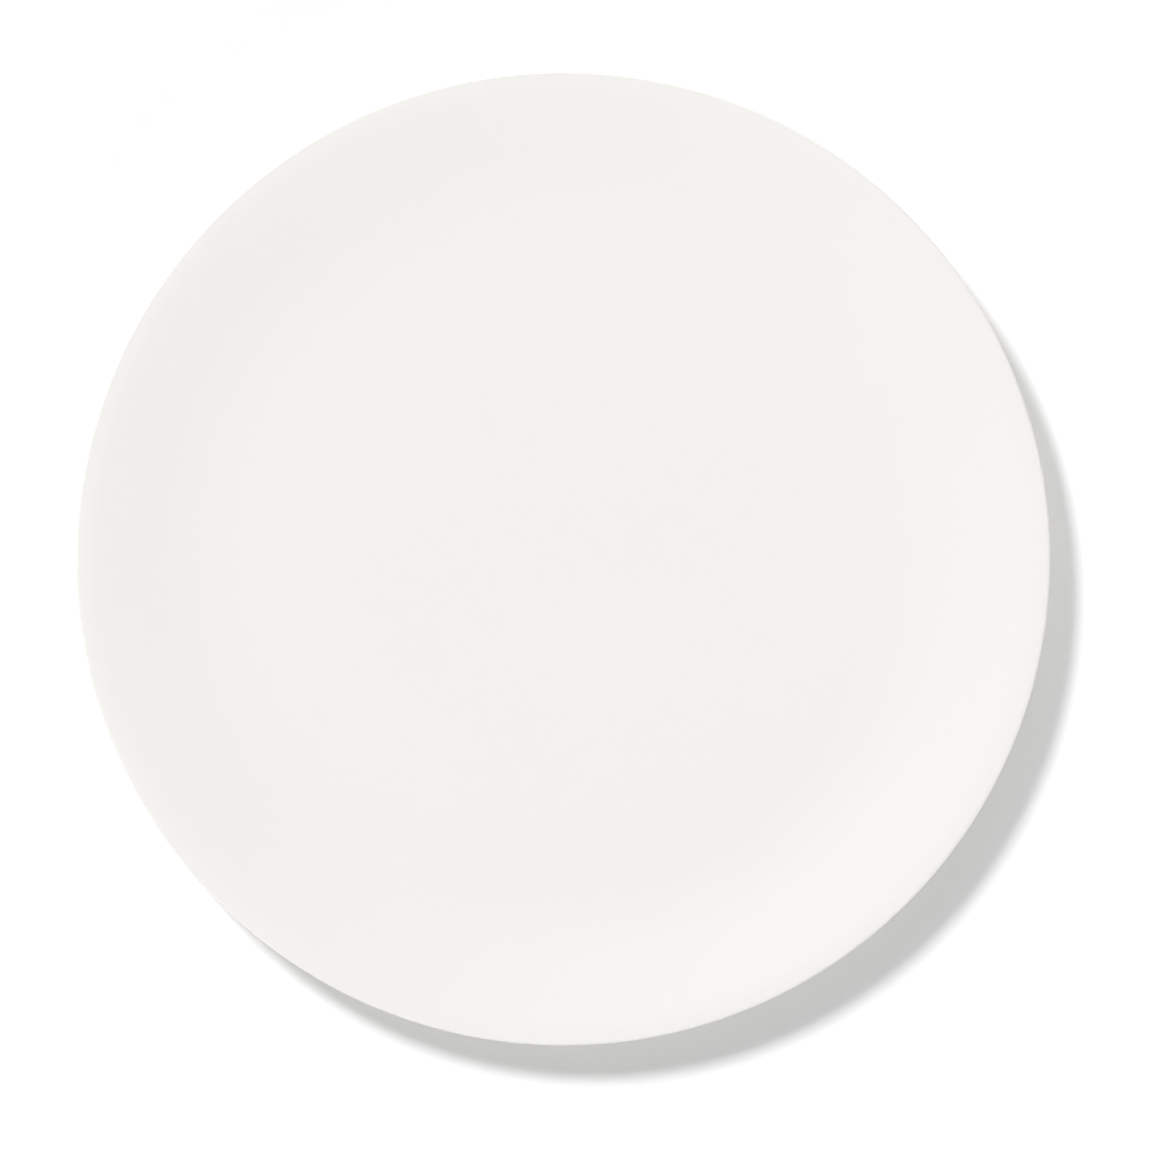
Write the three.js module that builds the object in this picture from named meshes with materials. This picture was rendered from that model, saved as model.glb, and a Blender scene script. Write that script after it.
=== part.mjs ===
// A rimless (coupe) dinner plate of glazed bone china: one fired body that stands on a bare foot ring,
// and the two coats of glaze fused onto it, one over the face and the outside, one in the foot's recess.
// Millimetres, +Z up, origin on the table under the middle of the plate.
import * as THREE from "three";

// The finished plate, over its glaze.
const PLATE_DIAMETER = 280;
const PLATE_HEIGHT = 16;

// The body's walls.
const WELL_THICKNESS = 3.8;
const RIM_THICKNESS = 3.2;

// The face, from the edge inwards. The well's corner is where its flat floor and the rim's slope would meet.
const RIM_WIDTH = 36; // from the body's edge to the well's corner, seen from above
const COUPE_RADIUS = 112; // the sweep that takes the place of the well's corner
const LIP_WIDTH = 3.5; // from the body's edge to where the rim's slope reaches the full height
const LIP_ROLL_RADIUS = 22; // how softly that slope rolls over into the lip
const LIP_EDGE_RADIUS = 0.6; // the lip's upper edge, which is crisp
const LIP_UNDER_RADIUS = 1.8; // its lower edge, which is soft to the fingers

// The foot ring, measured where it stands on the table.
const FOOT_SETBACK = 19.5; // from the well's corner in to the foot's outer side
const FOOT_WIDTH = 4.2;
const FOOT_HEIGHT = 4.4;
const FOOT_DRAFT = THREE.MathUtils.degToRad(20); // lean of the foot's two sides, to leave the mould
const FOOT_EDGE_RADIUS = 1.2;
const FOOT_ROOT_RADIUS = 2;

// The glaze, and the hairline between it and the body that keeps the two solids apart.
const GLAZE_THICKNESS = 0.15;
const BOND_GAP = 0.02;
const GLAZE_FACE = BOND_GAP + GLAZE_THICKNESS; // from the body out to the finished surface

// How finely round shapes are cut into flat facets.
const SEGMENTS = 64;
const CHORD_ERROR = 0.05;
const FILLET_SHARE = 0.98; // the most of a straight edge that the roundings at its two ends may use up

// The corners of the body's half section before rounding, as [radius, height, rounding], counter-clockwise
// from the middle of the recess, under the foot, and up round the lip to the middle of the well.
function bodyCorners() {
  const edge = PLATE_DIAMETER / 2 - GLAZE_FACE;
  const crest = PLATE_HEIGHT - GLAZE_FACE;
  const rimTop = edge - LIP_WIDTH;
  const wellCorner = edge - RIM_WIDTH;
  const floor = FOOT_HEIGHT + WELL_THICKNESS;
  const slope = Math.atan2(crest - floor, rimTop - wellCorner);

  // The back of the rim is parallel to its face, one rim thickness away.
  const backRadius = wellCorner + RIM_THICKNESS * Math.sin(slope);
  const backHeight = floor - RIM_THICKNESS * Math.cos(slope);
  const backCorner = backRadius + (FOOT_HEIGHT - backHeight) / Math.tan(slope);
  const lipUnderside = backHeight + (edge - backRadius) * Math.tan(slope);

  const footOuter = wellCorner - FOOT_SETBACK;
  const footInner = footOuter - FOOT_WIDTH;
  const lean = FOOT_HEIGHT * Math.tan(FOOT_DRAFT);

  return {
    recess: [
      [0, FOOT_HEIGHT, 0],
      [footInner - lean, FOOT_HEIGHT, FOOT_ROOT_RADIUS],
    ],
    foot: [
      [footInner, 0, FOOT_EDGE_RADIUS],
      [footOuter, 0, FOOT_EDGE_RADIUS],
    ],
    outside: [
      [footOuter + lean, FOOT_HEIGHT, FOOT_ROOT_RADIUS],
      [backCorner, FOOT_HEIGHT, COUPE_RADIUS + WELL_THICKNESS],
      [edge, lipUnderside, LIP_UNDER_RADIUS],
      [edge, crest, LIP_EDGE_RADIUS],
      [rimTop, crest, LIP_ROLL_RADIUS],
      [wellCorner, floor, COUPE_RADIUS],
      [0, floor, 0],
    ],
  };
}

// Each corner as an arc: its centre, its bend (the radius, negative on a hollow corner), the angle of the
// outward normal where it begins, how far that normal turns, and the number of facets.
function roundCorners(corners) {
  const points = corners.map(([radius, height]) => new THREE.Vector2(radius, height));
  const edges = points.slice(1).map((point, i) => point.clone().sub(points[i]));
  const turns = corners.map((corner, i) => {
    if (i === 0 || i === corners.length - 1) return 0;
    return Math.atan2(edges[i - 1].cross(edges[i]), edges[i - 1].dot(edges[i]));
  });
  const wanted = corners.map(([, , rounding], i) => rounding * Math.tan(Math.abs(turns[i]) / 2));
  const room = edges.map((edge, i) => {
    const used = wanted[i] + wanted[i + 1];
    return used > 0 ? Math.min(1, (FILLET_SHARE * edge.length()) / used) : 1;
  });

  return corners.map(([, , rounding], i) => {
    const along = edges[Math.max(i - 1, 0)].clone().normalize();
    const outward = new THREE.Vector2(along.y, -along.x);
    const fits = Math.min(room[i - 1] ?? 1, room[i] ?? 1);
    const radius = rounding * fits;
    const bend = Math.sign(turns[i]) * radius;
    const start = points[i].clone().addScaledVector(along, -wanted[i] * fits);
    const facet = 2 * Math.acos(1 - Math.min(1, CHORD_ERROR / Math.max(rounding, CHORD_ERROR)));
    return {
      centre: start.addScaledVector(outward, -bend),
      bend,
      from: outward.angle(),
      turn: turns[i],
      steps: Math.ceil(Math.abs(turns[i]) / facet),
    };
  });
}

// The section's surface, moved outwards by a distance, as points of a lathe profile.
function surface(arcs, distance) {
  return arcs.flatMap(({ centre, bend, from, turn, steps }) =>
    Array.from({ length: steps + 1 }, (_, step) => {
      const normal = from + (steps ? (turn * step) / steps : 0);
      const reach = bend + distance;
      const radius = centre.x + reach * Math.cos(normal);
      return new THREE.Vector2(Math.max(0, radius), centre.y + reach * Math.sin(normal));
    }),
  );
}

// The place on an arc where it begins or ends, as an arc of one point.
const arcStart = (arc) => ({ ...arc, turn: 0, steps: 0 });
const arcEnd = (arc) => ({ ...arc, from: arc.from + arc.turn, turn: 0, steps: 0 });

function turned(name, profile, material) {
  const mesh = new THREE.Mesh(new THREE.LatheGeometry(profile, SEGMENTS), material);
  mesh.name = name;
  return mesh;
}

// Bare fired china, which is matt, and the clear glossy glaze that shows the china's warm white through it.
const biscuit = () => new THREE.MeshStandardMaterial({ color: 0xf0ece2, roughness: 0.6, metalness: 0 });
const clearGlaze = () => new THREE.MeshStandardMaterial({ color: 0xf3f1ed, roughness: 0.15, metalness: 0 });

const { recess, foot, outside } = bodyCorners();
const section = roundCorners([...recess, ...foot, ...outside]);
const recessArcs = section.slice(0, recess.length);
const footArcs = section.slice(recess.length, -outside.length);
const outsideArcs = section.slice(-outside.length);

// The bone china body: well, rim and foot ring in one piece.
function chinaBody() {
  return turned("china_body", surface(section, 0), biscuit());
}

// The glaze over the face, round the lip and down the back to the foot ring, whose standing edge is bare.
function mainGlaze() {
  const covered = [arcEnd(footArcs.at(-1)), ...outsideArcs];
  const bonded = surface(covered, BOND_GAP).reverse();
  return turned("main_glaze", [...bonded, ...surface(covered, GLAZE_FACE)], clearGlaze());
}

// The glaze in the recess inside the foot ring.
function recessGlaze() {
  const covered = [...recessArcs, arcStart(footArcs.at(0))];
  const bonded = surface(covered, BOND_GAP).reverse();
  return turned("recess_glaze", [...surface(covered, GLAZE_FACE), ...bonded], clearGlaze());
}

const plate = new THREE.Group();
plate.rotation.x = Math.PI / 2; // a lathe turns about +Y, and the plate stands along +Z
plate.add(chinaBody(), mainGlaze(), recessGlaze());

export default plate;
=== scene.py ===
import math

import bpy
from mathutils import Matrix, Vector


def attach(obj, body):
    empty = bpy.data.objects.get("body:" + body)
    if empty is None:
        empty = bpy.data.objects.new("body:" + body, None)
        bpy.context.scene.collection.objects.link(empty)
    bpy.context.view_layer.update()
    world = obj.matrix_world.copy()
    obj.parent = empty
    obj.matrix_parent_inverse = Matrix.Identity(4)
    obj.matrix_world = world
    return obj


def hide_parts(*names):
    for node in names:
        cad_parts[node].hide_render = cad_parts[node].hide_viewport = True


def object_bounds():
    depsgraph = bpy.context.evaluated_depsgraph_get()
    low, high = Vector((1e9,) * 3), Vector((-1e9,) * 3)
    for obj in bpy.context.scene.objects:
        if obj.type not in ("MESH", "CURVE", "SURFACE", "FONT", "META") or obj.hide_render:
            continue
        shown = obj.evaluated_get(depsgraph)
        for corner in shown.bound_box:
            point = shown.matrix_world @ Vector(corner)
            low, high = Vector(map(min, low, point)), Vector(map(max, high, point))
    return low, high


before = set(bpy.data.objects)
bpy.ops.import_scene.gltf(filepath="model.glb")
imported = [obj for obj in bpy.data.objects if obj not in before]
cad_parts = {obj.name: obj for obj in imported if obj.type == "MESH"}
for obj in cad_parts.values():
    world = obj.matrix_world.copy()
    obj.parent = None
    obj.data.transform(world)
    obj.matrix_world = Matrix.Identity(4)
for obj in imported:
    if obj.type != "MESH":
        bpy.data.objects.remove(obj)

CAD_LOW, CAD_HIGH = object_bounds()
MM = 0.001

# The finished plate, over its glaze, in millimetres.
PLATE_DIAMETER = (CAD_HIGH.x - CAD_LOW.x) / MM
PLATE_HEIGHT = (CAD_HIGH.z - CAD_LOW.z) / MM

# The body's walls.
WELL_THICKNESS = 3.8
RIM_THICKNESS = 3.2

# The face, from the edge inwards. The well's corner is where its flat floor and the rim's slope would meet,
# and the coupe's sweep takes its place. The lip is crisp above and soft below.
RIM_WIDTH = 36.0
COUPE_RADIUS = 112.0
LIP_WIDTH = 3.5
LIP_ROLL_RADIUS = 22.0
LIP_EDGE_RADIUS = 0.6
LIP_UNDER_RADIUS = 1.8

# The foot ring.
FOOT_SETBACK = 19.5
FOOT_WIDTH = 4.2
FOOT_HEIGHT = 4.4
FOOT_DRAFT = math.radians(20)
FOOT_EDGE_RADIUS = 1.2
FOOT_ROOT_RADIUS = 2.0

# The glaze and the hairline between it and the body.
GLAZE_THICKNESS = 0.15
BOND_GAP = 0.02
GLAZE_FACE = BOND_GAP + GLAZE_THICKNESS

# How finely the surfaces are divided: the facets round the plate, the most that an arc may be cut short, the
# longest straight step, and the steps round the end of a coat of glaze.
SEGMENTS = 256
CHORD_ERROR = 0.004
LONGEST_STEP = 6.0
BEAD_STEPS = 6

# The picture: its side, and the centre and radius of the plate's circle in it, in pixels. The camera's
# distance is from the lip, in metres, and its sensor's width is in millimetres.
PICTURE_SIDE = 1170
PLATE_CENTRE = (563.2, 558.4)
PLATE_PIXELS = 487.0
CAMERA_DISTANCE = 2.9
SENSOR_WIDTH = 36.0


# Section of the plate

def body_corners():
    """The corners of the body's half section before rounding, as (radius, height, rounding): the recess, the
    foot and the outside, counter-clockwise from the middle of the recess to the middle of the well."""
    edge = PLATE_DIAMETER / 2 - GLAZE_FACE
    crest = PLATE_HEIGHT - GLAZE_FACE
    rim_top = edge - LIP_WIDTH
    well_corner = edge - RIM_WIDTH
    floor = FOOT_HEIGHT + WELL_THICKNESS
    slope = math.atan2(crest - floor, rim_top - well_corner)

    back_radius = well_corner + RIM_THICKNESS * math.sin(slope)
    back_height = floor - RIM_THICKNESS * math.cos(slope)
    back_corner = back_radius + (FOOT_HEIGHT - back_height) / math.tan(slope)
    lip_underside = back_height + (edge - back_radius) * math.tan(slope)

    foot_outer = well_corner - FOOT_SETBACK
    foot_inner = foot_outer - FOOT_WIDTH
    lean = FOOT_HEIGHT * math.tan(FOOT_DRAFT)

    recess = [
        (0.0, FOOT_HEIGHT, 0.0),
        (foot_inner - lean, FOOT_HEIGHT, FOOT_ROOT_RADIUS),
    ]
    foot = [
        (foot_inner, 0.0, FOOT_EDGE_RADIUS),
        (foot_outer, 0.0, FOOT_EDGE_RADIUS),
    ]
    outside = [
        (foot_outer + lean, FOOT_HEIGHT, FOOT_ROOT_RADIUS),
        (back_corner, FOOT_HEIGHT, COUPE_RADIUS + WELL_THICKNESS),
        (edge, lip_underside, LIP_UNDER_RADIUS),
        (edge, crest, LIP_EDGE_RADIUS),
        (rim_top, crest, LIP_ROLL_RADIUS),
        (well_corner, floor, COUPE_RADIUS),
        (0.0, floor, 0.0),
    ]
    return recess, foot, outside


class Arc:
    """A rounded corner: its centre, its bend (the radius, negative on a hollow corner), the angle of the
    outward normal where it begins, how far that normal turns, and the number of steps."""

    def __init__(self, centre, bend, start, turn, steps):
        self.centre = centre
        self.bend = bend
        self.start = start
        self.turn = turn
        self.steps = steps

    def point(self, step, distance):
        """The surface moved outwards by a distance, as (radius, height, angle of the normal)."""
        normal = self.start + (self.turn * step / self.steps if self.steps else 0.0)
        reach = self.bend + distance
        radius = self.centre.x + reach * math.cos(normal)
        return max(0.0, radius), self.centre.y + reach * math.sin(normal), normal

    def points(self, distance):
        return [self.point(step, distance) for step in range(self.steps + 1)]

    def end_point(self, distance):
        return self.point(self.steps, distance)

    def start_point(self, distance):
        return self.point(0, distance)


def round_corners(corners):
    points = [Vector((radius, height)) for radius, height, _ in corners]
    arcs = []
    for i, (_, _, rounding) in enumerate(corners):
        before = points[max(i, 1)] - points[max(i, 1) - 1]
        along = before.normalized()
        outward = Vector((along.y, -along.x))
        turn = 0.0
        if 0 < i < len(corners) - 1:
            after = points[i + 1] - points[i]
            turn = math.atan2(before.cross(after), before.dot(after))
        bend = math.copysign(rounding, turn) if rounding else 0.0
        start = points[i] - along * rounding * math.tan(abs(turn) / 2)
        facet = 2 * math.acos(1 - CHORD_ERROR / rounding) if rounding else math.pi
        centre = start - outward * bend
        angle = math.atan2(outward.y, outward.x)
        arcs.append(Arc(centre, bend, angle, turn, math.ceil(abs(turn) / facet)))
    return arcs


def surface(arcs, distance):
    """The section's surface moved outwards by a distance, with its long straight stretches divided."""
    corners = [point for arc in arcs for point in arc.points(distance)]
    profile = corners[:1]
    for a, b in zip(corners, corners[1:]):
        pieces = math.ceil(math.hypot(b[0] - a[0], b[1] - a[1]) / LONGEST_STEP)
        for i in range(1, pieces):
            share = i / pieces
            profile.append((a[0] + (b[0] - a[0]) * share, a[1] + (b[1] - a[1]) * share, a[2]))
        profile.append(b)
    return profile


def inner_face(profile):
    """The same stretch walked back, seen from its other side."""
    return [(radius, height, normal + math.pi) for radius, height, normal in reversed(profile)]


def glaze_bead(body_point, begin):
    """The rounded end of a coat of glaze over a point of the body, walked counter-clockwise."""
    radius, height, normal = body_point
    half = GLAZE_THICKNESS / 2
    middle = BOND_GAP + half
    inwards = normal + math.pi / 2 if begin else normal - math.pi / 2
    centre_radius = radius + middle * math.cos(normal) + half * math.cos(inwards)
    centre_height = height + middle * math.sin(normal) + half * math.sin(inwards)
    first = normal - math.pi if begin else normal
    bead = []
    for step in range(BEAD_STEPS + 1):
        angle = first + math.pi * step / BEAD_STEPS
        bead.append((centre_radius + half * math.cos(angle), centre_height + half * math.sin(angle), angle))
    return bead


# Meshes

def lathe(name, profile):
    """A closed mesh turned about +Z from a profile that begins and ends on the axis, with exact normals."""
    vertices, normals, rings = [], [], []
    for radius, height, angle in profile:
        count = SEGMENTS if radius > CHORD_ERROR else 1
        rings.append((len(vertices), count))
        for j in range(count):
            around = math.tau * j / SEGMENTS
            across = math.cos(angle) if count > 1 else 0.0
            vertices.append((radius * math.cos(around) * MM, radius * math.sin(around) * MM, height * MM))
            normals.append((across * math.cos(around), across * math.sin(around), math.sin(angle)))

    faces = []
    for (low, low_count), (high, high_count) in zip(rings, rings[1:]):
        for j in range(SEGMENTS):
            k = (j + 1) % SEGMENTS
            if low_count == 1:
                faces.append((low, high + k, high + j))
            elif high_count == 1:
                faces.append((low + j, low + k, high))
            else:
                faces.append((low + j, low + k, high + k, high + j))

    mesh = bpy.data.meshes.new(name)
    mesh.from_pydata(vertices, [], faces)
    mesh.shade_smooth()
    mesh.normals_split_custom_set_from_vertices(normals)
    piece = bpy.data.objects.new(name, mesh)
    bpy.context.scene.collection.objects.link(piece)
    return piece


# Materials

# The values between which most of a noise lies.
NOISE_LOW = 0.3
NOISE_HIGH = 0.7


class Material:
    """A node material with one Principled surface, and short calls to add to it."""

    def __init__(self, name):
        self.made = bpy.data.materials.new(name)
        self.made.use_nodes = True
        self.tree = self.made.node_tree
        self.shader = self.tree.nodes["Principled BSDF"]

    def add(self, kind, inputs=None, **settings):
        node = self.tree.nodes.new(kind)
        for key, value in settings.items():
            setattr(node, key, value)
        for key, value in (inputs or {}).items():
            self.put(node, key, value)
        return node

    def put(self, node, key, value):
        if isinstance(value, bpy.types.NodeSocket):
            self.tree.links.new(value, node.inputs[key])
        else:
            node.inputs[key].default_value = value

    def surface(self, **values):
        for key, value in values.items():
            self.put(self.shader, key.replace("_", " "), value)

    def place(self):
        return self.add("ShaderNodeTexCoord").outputs["Object"]

    def noise(self, vector, pattern):
        scale, detail = pattern
        inputs = {"Vector": vector, "Scale": scale, "Detail": detail}
        return self.add("ShaderNodeTexNoise", inputs).outputs["Fac"]

    def ranged(self, value, low, high, to_low, to_high):
        inputs = {"Value": value, "From Min": low, "From Max": high, "To Min": to_low, "To Max": to_high}
        return self.add("ShaderNodeMapRange", inputs).outputs["Result"]

    def spread(self, noise, to_low, to_high):
        """The middle of a noise, where most of it lies, spread over a range."""
        return self.ranged(noise, NOISE_LOW, NOISE_HIGH, to_low, to_high)

    def radius(self, vector):
        flat = self.add("ShaderNodeVectorMath", {0: vector, 1: (1, 1, 0)}, operation="MULTIPLY")
        return self.add("ShaderNodeVectorMath", {0: flat.outputs[0]}, operation="LENGTH").outputs["Value"]

    def total(self, first, second):
        return self.add("ShaderNodeMath", {0: first, 1: second}, operation="ADD").outputs["Value"]

    def mixed(self, factor, first, second):
        node = self.add("ShaderNodeMix", data_type="RGBA")
        self.put(node, "Factor", factor)
        sockets = [socket for socket in node.inputs if socket.type == "RGBA"]
        for socket, colour in zip(sockets, (first, second)):
            socket.default_value = (*colour, 1.0)
        return next(socket for socket in node.outputs if socket.type == "RGBA")

    def bump(self, height, distance, normal=None):
        inputs = {"Height": height, "Distance": distance, "Strength": 1.0}
        if normal is not None:
            inputs["Normal"] = normal
        return self.add("ShaderNodeBump", inputs).outputs["Normal"]


# The glaze's paler and deeper tones, and the radius in metres from which painted light makes it paler out to
# the edge. The painted rim light and the random clouding each take it part of the way from deep to pale.
GLAZE_PALE = (0.908, 0.891, 0.860)
GLAZE_DEEP = (0.895, 0.877, 0.845)
PAINTED_LIGHT_START = 0.05
PAINTED_RIM_LIGHT = 0.7
GLAZE_CLOUDING = 0.3
GLAZE_IOR = 1.52
GLAZE_ROUGHNESS = (0.07, 0.13)

# Each pattern in it: how fine its noise is, as cells in a metre, and the noise's levels of detail.
GLAZE_CLOUD = (16.0, 3.0)
GLAZE_GLOSS = (45.0, 4.0)
GLAZE_WAVE = (70.0, 1.0)
GLAZE_RIPPLE = (520.0, 2.0)

# How high its waves and its ripples stand, in metres.
WAVE_HEIGHT = 0.000008
RIPPLE_HEIGHT = 0.000001


def glaze_material(name):
    """Clear glossy glaze over warm white china: softly wavy, faintly uneven in tone and gloss, with painted
    light that makes it paler from the well out to the rim, lifting the rim's shaded tone."""
    material = Material(name)
    place = material.place()
    cloud = material.spread(material.noise(place, GLAZE_CLOUD), 0.0, GLAZE_CLOUDING)
    edge = PLATE_DIAMETER / 2 * MM
    # painted light: the glaze is made paler from the well out to the edge, to lift the rim's shaded tone
    painted_rim_light = material.ranged(material.radius(place), PAINTED_LIGHT_START, edge, 0.0, PAINTED_RIM_LIGHT)
    colour = material.mixed(material.total(cloud, painted_rim_light), GLAZE_DEEP, GLAZE_PALE)
    gloss = material.spread(material.noise(place, GLAZE_GLOSS), *GLAZE_ROUGHNESS)
    wave = material.bump(material.noise(place, GLAZE_WAVE), WAVE_HEIGHT)
    ripple = material.bump(material.noise(place, GLAZE_RIPPLE), RIPPLE_HEIGHT, wave)
    material.surface(Base_Color=colour, Roughness=gloss, IOR=GLAZE_IOR, Normal=ripple)
    return material.made


# The bare china, its patterns as for the glaze, and how high its grain and its rings stand, in metres.
BISCUIT_PALE = (0.875, 0.848, 0.802)
BISCUIT_DEEP = (0.832, 0.800, 0.748)
BISCUIT_ROUGHNESS = (0.55, 0.72)
BISCUIT_CLOUD = (480.0, 4.0)
BISCUIT_RINGS = (3200.0, 1.0)
BISCUIT_GRAIN = (4200.0, 3.0)
RING_HEIGHT = 0.00002
GRAIN_HEIGHT = 0.00003


def biscuit_material(name):
    """Bare fired china, ground flat where it stands: matt, fine-grained, with faint rings from grinding."""
    material = Material(name)
    place = material.place()
    cloud = material.noise(place, BISCUIT_CLOUD)
    colour = material.mixed(material.spread(cloud, 0.0, 1.0), BISCUIT_PALE, BISCUIT_DEEP)
    grain = material.bump(material.noise(place, BISCUIT_GRAIN), GRAIN_HEIGHT)
    rings = material.noise(material.radius(place), BISCUIT_RINGS)
    ground = material.bump(rings, RING_HEIGHT, grain)
    dull = material.spread(cloud, *BISCUIT_ROUGHNESS)
    material.surface(Base_Color=colour, Roughness=dull, Normal=ground)
    return material.made


# Pieces of the plate

def finish_piece(piece, node, material):
    piece.data.materials.append(material)
    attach(piece, "root")
    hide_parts(node)


def make_plate():
    recess, foot, outside = body_corners()
    arcs = round_corners(recess + foot + outside)
    recess_arcs = arcs[:len(recess)]
    foot_inner, foot_outer = arcs[len(recess):len(recess) + len(foot)]
    outside_arcs = arcs[-len(outside):]

    body = lathe("plate_body", surface(arcs, 0.0))
    finish_piece(body, "china_body", biscuit_material("bare_china"))

    bead = glaze_bead(foot_outer.end_point(0.0), begin=True)
    bonded = inner_face(surface(outside_arcs, BOND_GAP))
    main = lathe("plate_glaze", bonded + bead + surface(outside_arcs, GLAZE_FACE))
    finish_piece(main, "main_glaze", glaze_material("glaze"))

    bead = glaze_bead(foot_inner.start_point(0.0), begin=False)
    bonded = inner_face(surface(recess_arcs, BOND_GAP))
    under = lathe("plate_recess_glaze", surface(recess_arcs, GLAZE_FACE) + bead + bonded)
    finish_piece(under, "recess_glaze", glaze_material("recess_glaze"))


# Table, light and camera

WHITE = (1.0, 1.0, 1.0, 1.0)

# The white table, in metres. Its top lies a hair under the foot ring, so that the two faces don't coincide.
# To the eye and in reflections it is lifted to full white, but it throws no more light on the plate.
TABLE_SIDE = 12.0
TABLE_TOP = -0.00002
TABLE_COLOUR = (0.95, 0.95, 0.95, 1.0)
TABLE_ROUGHNESS = 0.9
TABLE_LIFT = 0.135

# How brightly the studio's pale walls and its ceiling light the plate, and the sine of the height where the
# walls end.
WALL_LIGHT = 0.744
CEILING_LIGHT = 0.242
WALL_TOP = 0.5

# Each far lamp: the side of the picture it shines from, its height and width in degrees, and the light it
# throws on the table, where 1 in all shows a colour as written.
FAR_LAMPS = {
    "key": {"side": (-0.653, 0.757), "height": 47.0, "width": 13.0, "light": 0.539},
    "fill": {"side": (0.41, -0.91), "height": 12.0, "width": 20.0, "light": 0.096},
    "back": {"side": (0.0, 1.0), "height": 40.0, "width": 40.0, "light": 0.066},
}

# The softboxes round the plate, which show softly in its glaze: the sides they stand on, in degrees, their
# distance in metres, their height in degrees, their width and depth in metres, and how much they outshine the
# white of the room, which is 1.
SOFTBOX_SIDES = (90.0, 210.0, 330.0)
SOFTBOX_DISTANCE = 1.3
SOFTBOX_HEIGHT = 22.0
SOFTBOX_WIDTH = 0.9
SOFTBOX_DEPTH = 0.45
SOFTBOX_GLOW = 0.26


def seen_directly(tree):
    """1 for the camera's own rays and for what mirrors and glass show, 0 for light that falls on things."""
    path = tree.nodes.new("ShaderNodeLightPath")
    total = path.outputs["Is Camera Ray"]
    for name in ("Is Glossy Ray", "Is Transmission Ray"):
        step = tree.nodes.new("ShaderNodeMath")
        step.operation = "MAXIMUM"
        tree.links.new(total, step.inputs[0])
        tree.links.new(path.outputs[name], step.inputs[1])
        total = step.outputs["Value"]
    return total


def make_table():
    half = TABLE_SIDE / 2
    mesh = bpy.data.meshes.new("table")
    outline = ((-half, -half), (half, -half), (half, half), (-half, half))
    mesh.from_pydata([(x, y, TABLE_TOP) for x, y in outline], [], [(0, 1, 2, 3)])
    table = bpy.data.objects.new("table", mesh)
    bpy.context.scene.collection.objects.link(table)
    material = Material("table_white")
    material.surface(Base_Color=TABLE_COLOUR, Roughness=TABLE_ROUGHNESS, Specular_IOR_Level=0.0)
    lift = material.ranged(seen_directly(material.tree), 0.0, 1.0, 0.0, TABLE_LIFT)
    material.surface(Emission_Color=WHITE, Emission_Strength=lift)
    mesh.materials.append(material.made)


def make_world():
    """White to look at and in reflections. As light, pale walls under a dimmer ceiling."""
    world = bpy.data.worlds.new("studio")
    world.use_nodes = True
    tree = world.node_tree
    place = tree.nodes.new("ShaderNodeTexCoord")
    split = tree.nodes.new("ShaderNodeSeparateXYZ")
    tree.links.new(place.outputs["Generated"], split.inputs["Vector"])
    walls = tree.nodes.new("ShaderNodeMapRange")
    walls.interpolation_type = "SMOOTHSTEP"
    walls.inputs["From Max"].default_value = WALL_TOP
    walls.inputs["To Min"].default_value = WALL_LIGHT
    walls.inputs["To Max"].default_value = CEILING_LIGHT
    tree.links.new(split.outputs["Z"], walls.inputs["Value"])
    strength = tree.nodes.new("ShaderNodeMapRange")
    strength.inputs["To Max"].default_value = 1.0
    tree.links.new(seen_directly(tree), strength.inputs["Value"])
    tree.links.new(walls.outputs["Result"], strength.inputs["To Min"])
    background = tree.nodes["Background"]
    background.inputs["Color"].default_value = WHITE
    tree.links.new(strength.outputs["Result"], background.inputs["Strength"])
    bpy.context.scene.world = world


def place_lamp(light, side, height):
    """A lamp in the scene that shines from a side and height, and the direction from the plate to it."""
    flat = Vector(side).normalized() * math.cos(height)
    towards = Vector((flat.x, flat.y, math.sin(height)))
    holder = bpy.data.objects.new(light.name, light)
    holder.rotation_euler = towards.to_track_quat("Z", "Y").to_euler()
    bpy.context.scene.collection.objects.link(holder)
    return holder, towards


def make_far_lamps():
    for name, lamp in FAR_LAMPS.items():
        height = math.radians(lamp["height"])
        light = bpy.data.lights.new(name, "SUN")
        light.angle = math.radians(lamp["width"])
        light.energy = math.pi * lamp["light"] / math.sin(height)
        holder, _ = place_lamp(light, lamp["side"], height)
        holder.visible_glossy = False


def make_softboxes():
    for degrees in SOFTBOX_SIDES:
        around = math.radians(degrees)
        light = bpy.data.lights.new("softbox", "AREA")
        light.shape = "RECTANGLE"
        light.size = SOFTBOX_WIDTH
        light.size_y = SOFTBOX_DEPTH
        light.energy = math.pi * SOFTBOX_WIDTH * SOFTBOX_DEPTH * SOFTBOX_GLOW
        side = (math.cos(around), math.sin(around))
        holder, towards = place_lamp(light, side, math.radians(SOFTBOX_HEIGHT))
        holder.location = towards * SOFTBOX_DISTANCE


def make_camera():
    pixel = PLATE_DIAMETER / 2 * MM / PLATE_PIXELS
    across = (PICTURE_SIDE / 2 - PLATE_CENTRE[0]) * pixel
    up = (PLATE_CENTRE[1] - PICTURE_SIDE / 2) * pixel
    camera = bpy.data.cameras.new("camera")
    camera.sensor_width = SENSOR_WIDTH
    camera.lens = SENSOR_WIDTH * CAMERA_DISTANCE / (PICTURE_SIDE * pixel)
    camera.clip_end = TABLE_SIDE
    holder = bpy.data.objects.new("camera", camera)
    holder.location = (across, up, PLATE_HEIGHT * MM + CAMERA_DISTANCE)
    bpy.context.scene.collection.objects.link(holder)
    bpy.context.scene.camera = holder


make_plate()
make_table()
make_world()
make_far_lamps()
make_softboxes()
make_camera()
bpy.context.scene.view_settings.view_transform = "Standard"
